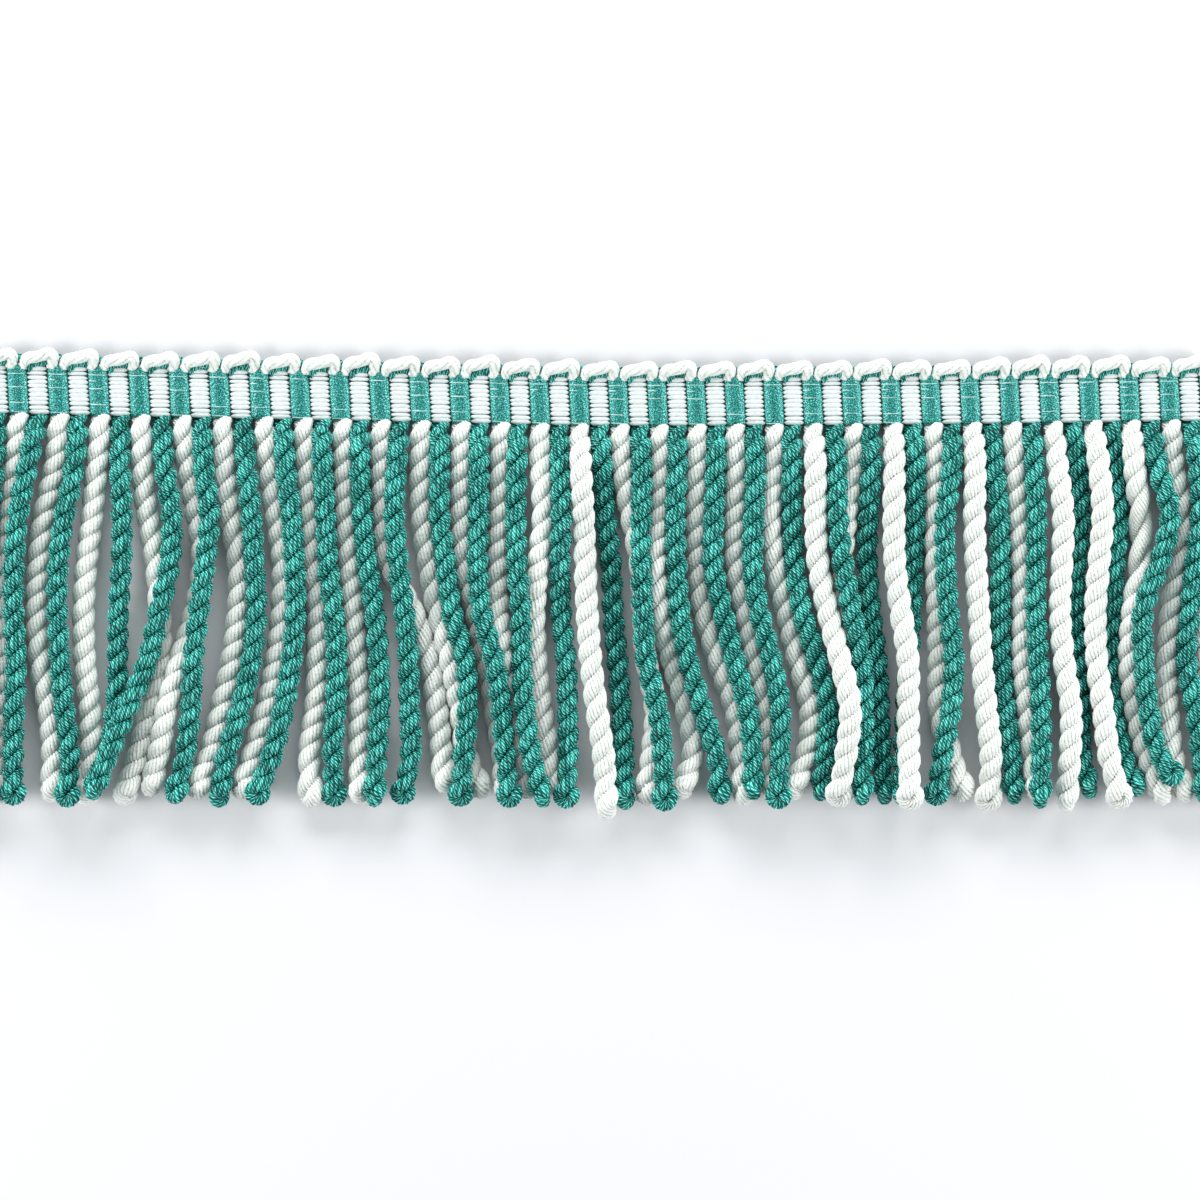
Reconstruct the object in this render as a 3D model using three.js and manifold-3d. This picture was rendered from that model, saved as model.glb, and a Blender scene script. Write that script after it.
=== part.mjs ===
// A cut length of two-colour bullion fringe, lying face up on a flat surface, in millimetres.
// X runs along the woven heading, the cords fall towards -Y and the face looks along +Z.
// The origin is the middle of the heading's flat back. Ribs are numbered from the middle one, which
// is 0: even ribs are white with a teal cord under them, odd ribs are teal with a white cord.

import * as THREE from "three";
import { mergeVertices } from "three/addons/utils/BufferGeometryUtils.js";
import Module from "manifold-3d";

const wasm = await Module();
wasm.setup();

// Room between neighbouring pieces
const GAP = 0.3;

// Heading
const LAST_RIB = 32;
const RIB_COUNT = 2 * LAST_RIB + 1;
const HEADING_HEIGHT = 10;
const WHITE_RIB_INSET = 0.4;
const RIB_LEAN = 0.5;
const GROOVE_THICKNESS = 1.5;
const RIB_RISE = 1.1;
const RIB_EDGE_SHARE = 0.6;
const RIB_SEGMENTS = 4;

// The heading lies in a slight bow: its middle line at every 11th rib
const BOW_RIBS = 33;
const HEADING_LINE = new THREE.CatmullRomCurve3([
  new THREE.Vector3(-133.3, 2.7, 0),
  new THREE.Vector3(-88.5, 1.8, 0),
  new THREE.Vector3(-44.1, 0.9, 0),
  new THREE.Vector3(0, 0, 0),
  new THREE.Vector3(43.0, 0.1, 0),
  new THREE.Vector3(86.7, 0.5, 0),
  new THREE.Vector3(131.0, 1.1, 0),
], false, "catmullrom");

// Loops over the top edge, one to each pair of ribs
const LOOP_SEGMENTS = 6;
const LOOP_SKEW = 1.6;
const LOOP_FOOT = 1.0;
const WHITE_LOOP = { firstRib: -31, lastRib: 31, crest: 3.7, hollow: 1.2, bottom: 1.5, top: 3.3 };
const TEAL_LOOP = { firstRib: -32, lastRib: 32, crest: 2.2, hollow: 0, bottom: 0, top: 1.2 };

// Root strips under the heading, the teal one above the white one
const STRIP_RIBS = RIB_COUNT - 0.5;
const STRIP_STEPS = LAST_RIB;
const STRIP_DEPTH = 1.2;
const TEAL_STRIP = { bottom: 1.4, top: 2.6 };
const WHITE_STRIP = { bottom: 0, top: 1.1 };
const ROOT_MARGIN = 0.1;

// Cords
const CORD_WIDTH = 3.5;
const CORD_THICKNESS = 3.4;
const ROOT_WIDTH = 3.3;
const BULB_WIDTH = 3.8;
const END_WIDTH = 2.6;
const END_TAPER = 1.0;
const TIP_LINE = -81.5;
const ROOT_START = 0.5;
const FLAT_ROOT = 1.8;
const FULL_ROOT = 4.3;
const BODY_STEPS = 9;
const BULB_BACK = 3.4;

// How cords lie over each other: each is laid on those already down, and bends no more than this
const SIDE_GAP = 0.45;
const LAY_GAP = 0.6;
const LAY_STEP = 1.25;
const MAX_SLOPE = 0.24;
const RISE_END = 0.22;
const LOWER_HALF = { start: 0.35, end: 0.7 };
const SETTLE_START = 0.8;
const TIP_SHARE = 0.5;
const UPPER_LIFT = [3.8, 3.6];
const LOWER_LIFT = [0, 0];

// Each cord's sideways drift from its own rib at every quarter of its drop. reach is how much further
// down than the tip line it ends, and lift its height off the surface in its upper and lower half,
// where that differs from the rest of its row.
const TEAL_CORDS = [
  { rib: -32, quarter: -1.0, half: -2.0, most: -2.0, tip: -1.8 },
  { rib: -30, quarter: -1.2, half: -2.4, most: -2.2, tip: -2.4 },
  { rib: -28, quarter: -3.7, half: -4.6, most: -4.5, tip: -4.7 },
  { rib: -26, quarter: -2.6, half: -4.0, most: -2.6, tip: -1.8 },
  { rib: -24, quarter: 0.8, half: 0, most: -0.6, tip: -4.4, reach: -1.8, lift: [3.4, 1.2] },
  { rib: -22, quarter: 2.7, half: 0.2, most: -6.1, tip: -12.3, reach: -1.0 },
  { rib: -20, quarter: 2.2, half: 0.1, most: -1.6, tip: -4.6 },
  { rib: -18, quarter: 2.5, half: 3.5, most: 0.3, tip: -3.9 },
  { rib: -16, quarter: 2.5, half: 3.3, most: 0.9, tip: -4.3 },
  { rib: -14, quarter: 1.3, half: 2.9, most: 3.3, tip: 2.9 },
  { rib: -12, quarter: 0.6, half: 3.1, most: 4.1, tip: 3.1 },
  { rib: -10, quarter: -1.0, half: 1.0, most: 2.0, tip: 0.6 },
  { rib: -8, quarter: 0, half: 2.5, most: 5.7, tip: 4.2 },
  { rib: -6, quarter: -0.2, half: 0.4, most: 4.4, tip: 6.0 },
  { rib: -4, quarter: -0.8, half: 0.2, most: 1.1, tip: 4.4 },
  { rib: -2, quarter: 0.6, half: 0.3, most: 1.6, tip: 1.4, lift: [0.4, 3.4] },
  { rib: 0, quarter: 1.3, half: 2.8, most: 4.4, tip: 5.1, reach: 1.0, lift: [0.4, 0.4] },
  { rib: 2, quarter: 0.6, half: 0.9, most: 3.9, tip: 5.3, reach: 1.2 },
  { rib: 4, quarter: -0.4, half: 0.5, most: 5.0, tip: 8.7 },
  { rib: 6, quarter: -0.4, half: 1.4, most: 6.3, tip: 7.5, reach: -1.0 },
  { rib: 8, quarter: -0.2, half: 0.9, most: 5.1, tip: 4.7, reach: 0.7 },
  { rib: 10, quarter: -0.3, half: 1.7, most: 7.0, tip: 5.5, reach: -0.8, lift: [2.0, 0.2] },
  { rib: 12, quarter: 1.0, half: 3.8, most: 6.1, tip: 5.8, lift: [3.2, 0.8] },
  { rib: 14, quarter: -0.7, half: -0.2, most: 1.5, tip: 2.0, lift: [0.5, 0] },
  { rib: 16, quarter: 0.7, half: 0.1, most: -1.1, tip: -1.5, lift: [0.6, 0] },
  { rib: 18, quarter: -1.2, half: -0.6, most: -0.1, tip: -3.0 },
  { rib: 20, quarter: 1.7, half: 2.0, most: 3.1, tip: 4.7, lift: [2.4, 0.6] },
  { rib: 22, quarter: 1.2, half: 1.0, most: 2.0, tip: 1.8, reach: 0.6 },
  { rib: 24, quarter: 2.2, half: 1.0, most: 2.1, tip: 3.7, reach: -1.3, lift: [0.6, 0] },
  { rib: 26, quarter: 1.8, half: 0.6, most: 0.6, tip: 4.9, reach: -1.6, lift: [0.5, 0] },
  { rib: 28, quarter: 3.8, half: -1.8, most: -0.6, tip: 4.0, reach: -3.8, lift: [4.4, 4.8] },
  { rib: 30, quarter: 1.8, half: -0.3, most: 0.7, tip: 2.8 },
  { rib: 32, quarter: 0.8, half: 1.2, most: 1.4, tip: 1.8 },
];
const WHITE_CORDS = [
  { rib: -31, quarter: -1.4, half: -2.4, most: -2.6, tip: -2.6 },
  { rib: -29, quarter: -2.0, half: -3.0, most: -3.6, tip: -4.0 },
  { rib: -27, quarter: -2.9, half: -4.3, most: -1.9, tip: -1.3, reach: -0.6 },
  { rib: -25, quarter: -1.2, half: -3.0, most: -1.8, tip: -2.2, lift: [1.4, 0.6] },
  { rib: -23, quarter: 1.8, half: 4.2, most: 2.2, tip: -2.6 },
  { rib: -21, quarter: 3.5, half: 3.1, most: -2.3, tip: -5.5, reach: -1.8 },
  { rib: -19, quarter: 2.1, half: 3.7, most: 0.3, tip: -4.3, reach: -1.2 },
  { rib: -17, quarter: 3.2, half: 4.4, most: 1.2, tip: -3.4, reach: -1.2 },
  { rib: -15, quarter: 1.9, half: 3.7, most: 3.1, tip: 2.3 },
  { rib: -13, quarter: 1.1, half: 2.7, most: 3.9, tip: 4.1 },
  { rib: -11, quarter: 0.7, half: 6.5, most: 11.5, tip: 12.9, reach: -2.6 },
  { rib: -9, quarter: 0.3, half: 3.6, most: 8.0, tip: 11.8, reach: -1.2 },
  { rib: -7, quarter: 0.3, half: 3.2, most: 7.0, tip: 9.0, reach: -1.2 },
  { rib: -5, quarter: 0, half: -0.4, most: 3.1, tip: 5.6, reach: -1.2 },
  { rib: -3, quarter: 0.5, half: -1.1, most: 0.3, tip: 2.4, reach: -1.8, lift: [3.4, 0] },
  { rib: -1, quarter: 0.8, half: 1.6, most: 3.5, tip: 5.5, reach: 2.8, lift: [4.2, 4.2] },
  { rib: 1, quarter: 1.7, half: 3.6, most: 5.0, tip: 5.8 },
  { rib: 3, quarter: 0.5, half: 0.5, most: 5.7, tip: 5.1, reach: -1.2 },
  { rib: 5, quarter: 0, half: 1.5, most: 7.7, tip: 9.3 },
  { rib: 7, quarter: -0.1, half: 2.1, most: 6.1, tip: 7.1, reach: -1.2 },
  { rib: 9, quarter: -0.7, half: 2.6, most: 7.3, tip: 4.1, reach: -1.2 },
  { rib: 11, quarter: 0.5, half: 2.9, most: 7.3, tip: 5.1, lift: [4.0, 4.4] },
  { rib: 13, quarter: -1.0, half: -1.4, most: 0.8, tip: 1.2, reach: -1.2 },
  { rib: 15, quarter: 0.4, half: 1.8, most: 3.2, tip: 3.5, reach: 0.7, lift: [4.0, 4.0] },
  { rib: 17, quarter: 0.8, half: 1.4, most: 1.6, tip: 6.2, reach: -0.8 },
  { rib: 19, quarter: 0.6, half: 1.5, most: 3.0, tip: 3.6, reach: 1.2, lift: [4.0, 4.0] },
  { rib: 21, quarter: 1.6, half: 2.4, most: 3.4, tip: 5.2, reach: -1.2 },
  { rib: 23, quarter: 2.5, half: 1.8, most: 4.0, tip: 3.2, reach: 1.2, lift: [4.0, 4.0] },
  { rib: 25, quarter: 2.4, half: 0.9, most: 2.4, tip: 5.8, reach: 0.8, lift: [4.2, 4.2] },
  { rib: 27, quarter: 2.0, half: 0.4, most: 1.0, tip: 6.1, lift: [1.2, 0.4] },
  { rib: 29, quarter: 2.4, half: 0.2, most: -0.3, tip: 2.5, reach: -0.6 },
  { rib: 31, quarter: 0.6, half: -1.4, most: 0.2, tip: 2.2 },
];

const TEAL = new THREE.MeshStandardMaterial({ color: 0x1c9683, roughness: 0.5, metalness: 0 });
const WHITE = new THREE.MeshStandardMaterial({ color: 0xf3f2ed, roughness: 0.9, metalness: 0 });
const HEADING_CLOTH = new THREE.MeshStandardMaterial({ color: 0x8cc7bb, roughness: 0.8, metalness: 0 });

// The heading's middle line at a rib, which may be a fraction
function headingPoint(rib) {
  return HEADING_LINE.getPoint((rib + BOW_RIBS) / (2 * BOW_RIBS));
}

function movePoints(geometry, place) {
  const points = geometry.attributes.position;
  for (let i = 0; i < points.count; i += 1) {
    const [x, y, z] = place(points.getX(i), points.getY(i), points.getZ(i));
    points.setXYZ(i, x, y, z);
  }
  geometry.computeVertexNormals();
  return geometry;
}

function namedMesh(name, geometry, material) {
  const mesh = new THREE.Mesh(geometry, material);
  mesh.name = name;
  return mesh;
}

// The woven band: upright ribs raised on its face, pillowed at both edges, on a flat back
function headingGeometry() {
  const box = new THREE.BoxGeometry(RIB_COUNT, 1, 1, RIB_COUNT * RIB_SEGMENTS, 2, 1);
  return movePoints(box, (rib, across, depth) => {
    const middle = headingPoint(rib);
    const ribWave = Math.cos(Math.PI * rib);
    const inset = WHITE_RIB_INSET * Math.max(0, ribWave);
    const height = HEADING_HEIGHT - 2 * inset;
    const crown = across === 0 ? 1 : RIB_EDGE_SHARE;
    const face = GROOVE_THICKNESS + RIB_RISE * Math.abs(ribWave) * crown;
    return [middle.x - RIB_LEAN * across, middle.y + height * across, depth > 0 ? face : 0];
  });
}

// A row of single strands that turn over the top edge: each leaves its rib low, climbs to the right,
// and drops steeply beside the next rib of its colour. A hollow opens under the upper half of the arch.
function loopRowGeometry({ firstRib, lastRib, crest, hollow, bottom, top }) {
  const pairs = (lastRib - firstRib) / 2;
  const steps = pairs * LOOP_SEGMENTS;
  const box = new THREE.BoxGeometry(steps, 1, 1, steps, 1, 1);
  return movePoints(box, (along, across, depth) => {
    const step = Math.round(along + steps / 2);
    const travelled = step / LOOP_SEGMENTS;
    const turn = travelled - Math.floor(travelled);
    const arch = Math.sin(Math.PI * turn ** LOOP_SKEW);
    const outer = LOOP_FOOT + (crest - LOOP_FOOT) * arch;
    const inner = GAP + hollow * Math.max(0, 2 * arch - 1);
    const middle = headingPoint(firstRib + 2 * travelled);
    const edge = HEADING_HEIGHT / 2;
    return [
      middle.x - RIB_LEAN / 2,
      middle.y + edge + (across > 0 ? outer : inner),
      depth > 0 ? top : bottom,
    ];
  });
}

// The narrow strip that a row of cords is sewn into, just clear of the heading's lower edge
function stripGeometry({ bottom, top }) {
  const box = new THREE.BoxGeometry(STRIP_RIBS, 1, 1, STRIP_STEPS, 1, 1);
  return movePoints(box, (rib, across, depth) => {
    const middle = headingPoint(rib);
    const upper = middle.y - HEADING_HEIGHT / 2 - GAP;
    return [middle.x, across > 0 ? upper : upper - STRIP_DEPTH, depth > 0 ? top : bottom];
  });
}

// A cord's route in plan, from its root strip to its tip
function cordRoute(cord) {
  const root = headingPoint(cord.rib);
  const rootX = root.x + RIB_LEAN / 2;
  const rootY = root.y - HEADING_HEIGHT / 2 - GAP - ROOT_START;
  const tipY = TIP_LINE - (cord.reach ?? 0);
  const drifts = [0, cord.quarter, cord.half, cord.most, cord.tip];
  const quarterDrop = (tipY - rootY) / (drifts.length - 1);
  const points = drifts.map((drift, i) => new THREE.Vector3(rootX + drift, rootY + i * quarterDrop, 0));
  const curve = new THREE.CatmullRomCurve3(points, false, "catmullrom");
  return { ...cord, curve, rootY, tipY, length: rootY - tipY };
}

function shareAt(route, y) {
  return (route.rootY - y) / route.length;
}

// The height that a cord would take if nothing lay under it: up from its strip, level, then down
function freeHeight(route, share) {
  const { lerp, smoothstep } = THREE.MathUtils;
  const [upper, lower] = route.lift;
  const body = lerp(upper, lower, smoothstep(share, LOWER_HALF.start, LOWER_HALF.end));
  const rise = smoothstep(share, 0, RISE_END);
  const settle = smoothstep(share, SETTLE_START, 1);
  return body * rise * lerp(1, TIP_SHARE, settle);
}

function widthAt(route, share) {
  const fromTip = (1 - share) * route.length;
  return fromTip < 2 * BULB_BACK ? BULB_WIDTH : CORD_WIDTH;
}

// Lays the cords one by one, the lowest first, and gives each the height of its underside
function layCords(routes) {
  const lines = [];
  for (let y = -HEADING_HEIGHT / 2 - FULL_ROOT; y > TIP_LINE - BULB_WIDTH; y -= LAY_STEP) {
    lines.push(y);
  }
  const laid = [];
  const order = [...routes].sort((a, b) => a.lift[0] + a.lift[1] - b.lift[0] - b.lift[1]);
  for (const route of order) {
    const needs = [];
    for (const y of lines) {
      const share = shareAt(route, y);
      if (share < 0 || share > 1) {
        continue;
      }
      const place = route.curve.getPoint(share);
      const tangent = route.curve.getTangent(share);
      let height = freeHeight(route, share);
      for (const other of laid) {
        const otherShare = shareAt(other, y);
        if (otherShare < 0 || otherShare > 1) {
          continue;
        }
        const otherPlace = other.curve.getPoint(otherShare);
        const otherTangent = other.curve.getTangent(otherShare);
        const halfWidths = widthAt(route, share) / -tangent.y + widthAt(other, otherShare) / -otherTangent.y;
        if (Math.abs(place.x - otherPlace.x) < halfWidths / 2 + SIDE_GAP) {
          height = Math.max(height, other.underside(y) + CORD_THICKNESS + LAY_GAP);
        }
      }
      needs.push({ y, height });
    }
    route.underside = (y) => Math.max(...needs.map((need) => need.height - MAX_SLOPE * Math.abs(y - need.y)));
    laid.push(route);
  }
}

// The sections of a cord: flat in its strip, then full, a little wider at the closed end
function cordSections(route, strip) {
  const rootBottom = strip.bottom + (strip.bottom > 0 ? ROOT_MARGIN : 0);
  const rootTop = strip.top - ROOT_MARGIN;
  const sections = [
    { drop: 0, width: ROOT_WIDTH, bottom: rootBottom, top: rootTop },
    { drop: FLAT_ROOT, width: ROOT_WIDTH, bottom: rootBottom, top: rootTop },
  ];
  const bulbDrop = route.length - BULB_BACK;
  const step = (bulbDrop - FULL_ROOT) / BODY_STEPS;
  for (let i = 0; i <= BODY_STEPS; i += 1) {
    const drop = FULL_ROOT + i * step;
    const reachUp = i === 0 ? 0 : step / 2;
    const y = route.rootY - drop;
    const bottom = Math.max(0, route.underside(y), route.underside(y + reachUp), route.underside(y - step / 2));
    const width = i === 0 ? ROOT_WIDTH : CORD_WIDTH;
    sections.push({ drop, width, bottom, top: bottom + CORD_THICKNESS });
  }
  const bulb = sections[sections.length - 1];
  bulb.width = BULB_WIDTH;
  sections.push({ drop: route.length, width: END_WIDTH, bottom: bulb.bottom, top: bulb.top - END_TAPER });
  return sections;
}

function cordGeometry(route, strip) {
  const sections = cordSections(route, strip);
  const steps = sections.length - 1;
  const box = new THREE.BoxGeometry(1, 1, 1, 1, steps, 1);
  return movePoints(box, (side, along, depth) => {
    const section = sections[Math.round((0.5 - along) * steps)];
    const share = section.drop / route.length;
    const place = route.curve.getPoint(share);
    const tangent = route.curve.getTangent(share);
    const reach = side * section.width;
    return [
      place.x - tangent.y * reach,
      place.y + tangent.x * reach,
      depth > 0 ? section.top : section.bottom,
    ];
  });
}

function toSolid(geometry) {
  const bare = geometry.clone();
  bare.deleteAttribute("normal");
  bare.deleteAttribute("uv");
  const merged = mergeVertices(bare);
  return new wasm.Manifold(new wasm.Mesh({
    numProp: 3,
    vertProperties: new Float32Array(merged.attributes.position.array),
    triVerts: new Uint32Array(merged.index.array),
  }));
}

function toGeometry(solid) {
  const mesh = solid.getMesh();
  const geometry = new THREE.BufferGeometry();
  geometry.setAttribute("position", new THREE.BufferAttribute(mesh.vertProperties, mesh.numProp));
  geometry.setIndex(new THREE.BufferAttribute(mesh.triVerts, 1));
  return geometry;
}

function cordRowGeometry(routes, strip) {
  let solid = toSolid(stripGeometry(strip));
  for (const route of routes) {
    solid = solid.add(toSolid(cordGeometry(route, strip)));
  }
  return toGeometry(solid);
}

const tealRoutes = TEAL_CORDS.map((cord) => cordRoute({ lift: UPPER_LIFT, ...cord }));
const whiteRoutes = WHITE_CORDS.map((cord) => cordRoute({ lift: LOWER_LIFT, ...cord }));
layCords([...tealRoutes, ...whiteRoutes]);

const group = new THREE.Group();
group.add(namedMesh("heading", headingGeometry(), HEADING_CLOTH));
group.add(namedMesh("teal_cords", cordRowGeometry(tealRoutes, TEAL_STRIP), TEAL));
group.add(namedMesh("white_cords", cordRowGeometry(whiteRoutes, WHITE_STRIP), WHITE));
group.add(namedMesh("white_loops", loopRowGeometry(WHITE_LOOP), WHITE));
group.add(namedMesh("teal_loops", loopRowGeometry(TEAL_LOOP), TEAL));

export default group;
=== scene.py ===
"""A cut length of two-colour bullion fringe, lying face up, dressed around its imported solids.

Lengths are in millimetres until a mesh is made. X runs along the heading, the cords fall towards -Y
and the face looks along +Z. Ribs are numbered from the middle one, 0: even ribs are white with a teal
cord under them, odd ribs are teal with a white cord.
"""

import math

import bpy
import numpy as np
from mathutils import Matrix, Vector


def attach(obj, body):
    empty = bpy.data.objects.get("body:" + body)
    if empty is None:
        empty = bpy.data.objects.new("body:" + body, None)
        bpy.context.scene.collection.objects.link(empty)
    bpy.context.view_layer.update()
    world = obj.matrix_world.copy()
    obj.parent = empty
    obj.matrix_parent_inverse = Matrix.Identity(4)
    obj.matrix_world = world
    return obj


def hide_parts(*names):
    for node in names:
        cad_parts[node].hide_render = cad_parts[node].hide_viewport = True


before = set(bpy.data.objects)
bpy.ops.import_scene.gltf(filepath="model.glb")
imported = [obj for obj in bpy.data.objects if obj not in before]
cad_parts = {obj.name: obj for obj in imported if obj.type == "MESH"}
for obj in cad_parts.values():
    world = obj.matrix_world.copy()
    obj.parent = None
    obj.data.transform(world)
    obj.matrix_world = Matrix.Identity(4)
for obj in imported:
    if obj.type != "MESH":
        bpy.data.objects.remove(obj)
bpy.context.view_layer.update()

MM = 0.001
SEED = 11
rng = np.random.default_rng(SEED)

# Heading: the band isn't quite straight, BOW_X and BOW_Y say where the middles of BOW_RIBS lie
LAST_RIB = 32
BOW_RIBS = np.arange(-33, 34, 11)
BOW_X = np.array([-133.3, -88.5, -44.1, 0.0, 43.0, 86.7, 131.0])
BOW_Y = np.array([2.7, 1.8, 0.9, 0.0, 0.1, 0.5, 1.1])
HEADING_HEIGHT = 10.0
RIB_LEAN = 0.55
RIB_COLUMNS = 10
HEADING_ROWS = 44
BACK_ROWS = 8
TEAL_WEFTS = 22
WHITE_TOP_INSET = 0.3
WHITE_BOTTOM_INSET = 0.15
INSET_FULLNESS = 1.6
GROOVE_FACE = 1.45
RIB_RISE = 0.95
RIB_FULLNESS = 0.97
RIB_ROUNDNESS = 0.5
EDGE_ROUNDING = 0.14
EDGE_SHARPNESS = 16
WEFT_RELIEF = 0.09
WEFT_WANDER = 0.35
WANDER_RATE = 9.0
UNEVEN_RELIEF = 0.05
FLOAT_SINK = 0.65
BACK_GROOVE = 0.3
MAP_ASIDE = 100.0

# Teal weave, in millimetres from a rib's middle: where the painted highlight along its side begins and
# where it ends, and where the painted shade of the groove beside it begins
HIGHLIGHT_START = (0.5, 1.3)
HIGHLIGHT_END = (2.02, 1.8)
PAINTED_GROOVE_SHADE = (1.75, 2.05)

# White floats, one below the other over every even rib. Neighbours lap where no teal line parts them.
# FLOAT_LINES gives, for the float below a line, the line's height, how far from the left it shows
# (1 is the whole way) and the share of blocks that have it
FLOATS = 11
FLOAT_LENGTH = 4.15
FLOAT_THICK = 0.32
FLOAT_LAP = 0.16
FLOAT_DEPTH = 0.9
FLOAT_EDGE_SPREAD = 0.006
FLOAT_LENGTH_SPREAD = 0.02
FLOAT_LINE_FADE = 0.3
FLOAT_LINES = {
    1: (0.06, 1.0, 1.0), 2: (0.1, 1.0, 1.0), 3: (0.05, 0.4, 0.35), 5: (0.06, 0.35, 0.5), 6: (0.0, 1.0, 0.3),
    7: (0.04, 1.0, 0.35), 9: (0.08, 1.0, 0.8), 10: (0.06, 0.3, 0.4),
}

# Thin white lines on the teal blocks: place from the top as a share, where it starts and ends across
# the block as shares of its half width, and the share of blocks that have it
THIN_LINES = [
    (0.075, -0.95, -0.1, 0.65), (0.178, -0.97, 0.95, 0.95), (0.29, -0.95, -0.05, 0.6),
    (0.45, -0.95, 0.75, 0.6), (0.765, -0.9, 0.9, 0.45), (0.95, -0.9, 0.85, 0.6),
]
THIN_HALF = 0.15
THIN_HALF_RANGE = (0.6, 1.1)
THIN_THICK = 0.16
THIN_ABOVE = 0.03
THIN_PLACE_SPREAD = 0.008
THIN_WAVER = 0.004
THIN_LENGTH_RANGE = (0.8, 1.0)

# Bars of the heading: how far they lie off their rib, and how thick they are where the taper is 0
BAR_SPREAD = 0.05
BAR_END_THICK = 0.55

# Cords: END_REACH runs from the start of the closed bend to the tip line, ROOT_OVERLAP is how far a cord
# runs up behind the heading's lower edge and ROOT_HEIGHT how high its middle lies there
CORD_RADIUS = 2.5
HALF_TURN = 4.05
TURN_RADIUS = 1.35
END_SWELL = 0.2
END_REACH = 2.85
END_RISE = 0.6
ROOT_OVERLAP = 0.7
ROOT_HEIGHT = 0.8
FINE_STEP = 0.2
BEND_STEPS = 15

# Twist: the length over which it begins, how uneven it is and how quickly that changes, the length over
# which a loose stretch begins and ends, and how far round the end has turned, flat or on edge
TWIST_START = 2.5
TWIST_UNEVEN = 0.09
UNEVEN_RATE = (0.2, 0.3)
LOOSE_FADE = 6
FLAT_END_ANGLE = 0.25
EDGE_END_TURN = (0.25, 0.75)

# Changes of a cord's section along it, as shares: flatter at the root, drawn in at the neck, open before
# the closed bend. Lengths are from the root, and for the neck and the opening from the bend
FLAT_RANGE = (0.8, 3.5)
FLAT_OFFSET = 0.3
FLAT_DEEP = 0.04
FLAT_WIDE = 0.55
NECK_PLACE = 4.5
NECK_LENGTH = 1.4
NECK_OFFSET = 0.14
NECK_WIDE = 0.1
OPENING_LENGTH = 3.0
OPENING_WIDE = 0.1
LOOSE_OFFSET = 0.15

# Make of a strand: how many yarns, its section at each yarn's groove and crest, how steeply its yarns
# run back, the step of its mesh, its stray fibres for each millimetre, and in a cord its distance from
# the cord's middle and its half sizes out from there and across
TEAL_YARN = (6, (0.88, 1.04), 1.78, 0.42, 0, (1.12, 1.15, 1.27))
WHITE_YARN = (8, (0.87, 1.05), 2.3, 0.62, 0.8, (1.04, 1.32, 1.6))
SMOOTH_YARN = (6, (0.98, 1.02), 0.5, 0.5, 3.0, (1.0, 1.2, 1.2))
YARN_SPREAD = (0.975, 1.025)
FEWEST_RINGS = 4

# Stray fibres: none grow within FUZZ_BARE of a strand's ends. FIBRE_BEND holds, for the middle and the
# tip, how far it stands off and how far it leans, as shares of its length
FUZZ_BARE = 2.5
FIBRE_LENGTH = (0.5, 1.3)
FIBRE_RADIUS = 0.04
FIBRE_SIDES = 3
FIBRE_TAPER = np.array([1.0, 0.8, 0.3])
FIBRE_FOOT = 0.1
FIBRE_BEND = [(0.28, 0.3), (0.42, 0.85)]
FIBRE_ASIDE = 0.6
FIBRE_LOWEST = 0.1

# Beads of the teal yarn: how long, how much painted shade lies between them and how far they slant
BEAD = 0.46
BEAD_SHARE = 0.95
BEAD_SKEW = 0.32

# Loops over the top edge, as places along the pair of ribs, above the edge and off the middle plane
PAIR_WIDTH = 8.0
LOOP_POINTS = 90
LOOP_LEAST_TALL = 0.9
LOOP_TALL_SPREAD = 0.45
LOOP_TALL_RARITY = 1.5
LOOP_UNEVEN = 0.03
LOOP_UNEVEN_RATE = (2.5, 4.0)
LOOP_WIDE = 1.03
WHITE_LOOP_HEIGHT = 2.45
WHITE_LOOP_HALF = 1.2
TEAL_LOOP_HEIGHT = 1.4
TEAL_LOOP_HALF = 1.05
WHITE_LOOP_SHAPE = [
    (1.4, -0.7, -1.2), (1.6, 0.5, -0.9), (2.4, 1.2, -0.1), (4.0, 1.45, 0.0), (5.4, 1.8, 0.0),
    (6.6, 2.1, 0.1), (7.2, 1.5, -0.1), (7.15, 0.45, -0.9), (6.95, -0.7, -1.2),
]
TEAL_LOOP_SHAPE = [
    (-1.85, -0.9, 0.0), (0.0, 0.05, 0.0), (1.84, 0.65, 0.0), (3.9, 0.95, -0.1), (5.0, 0.5, -0.2),
    (5.3, -0.9, -0.2),
]

# Laying of the cords, the lowest first, with the depths between which they are laid
LAY_FROM = 1.0
LAY_PAST_TIP = 4.0
LAY_STEP = 0.5
LAY_PITCH = 4.3
ROOT_PITCH = 0.93
FULL_PITCH_RANGE = (5, 11)
MAX_SLOPE = 0.3
NOWHERE = -99
SMOOTH_STEPS = 8
SMOOTH_LENGTH = 1.6

# Free height of a cord: what a row adds in its upper and its lower half, between which shares of the
# length one goes over to the other, how much of it is gone at the tip, over which lengths a cord rises
# from its root, and over which lengths before the tip an end that is on edge rises
LIFT_BASE = 1.7
UPPER_LIFT = (3.8, 3.6)
LOWER_LIFT = (0.0, 0.0)
HALVES_MEET = (0.35, 0.7)
SETTLED = 0.5
SETTLE_RANGE = (0.8, 1.0)
END_RISE_RANGE = (9, 5)
HIGH_LIFT = 1
HIGH_RISE_LENGTH = 14
LOW_RISE_LENGTH = 6
ROOT_RISE_RANGE = (0.3, 2.6)

# Steepest rise from the root: from which depth below it, and by how much more
ROOT_CLIMB = [(0.6, 0.6), (2.5, 0.3)]

# Depths below the heading's middle where the drifts are given; the last drift is at the closed end
STATIONS = np.array([3.7, 13.4, 23.1, 32.7, 42.4, 52.1, 61.8, 71.4])
TIP_DEPTH = 81.5

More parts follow.
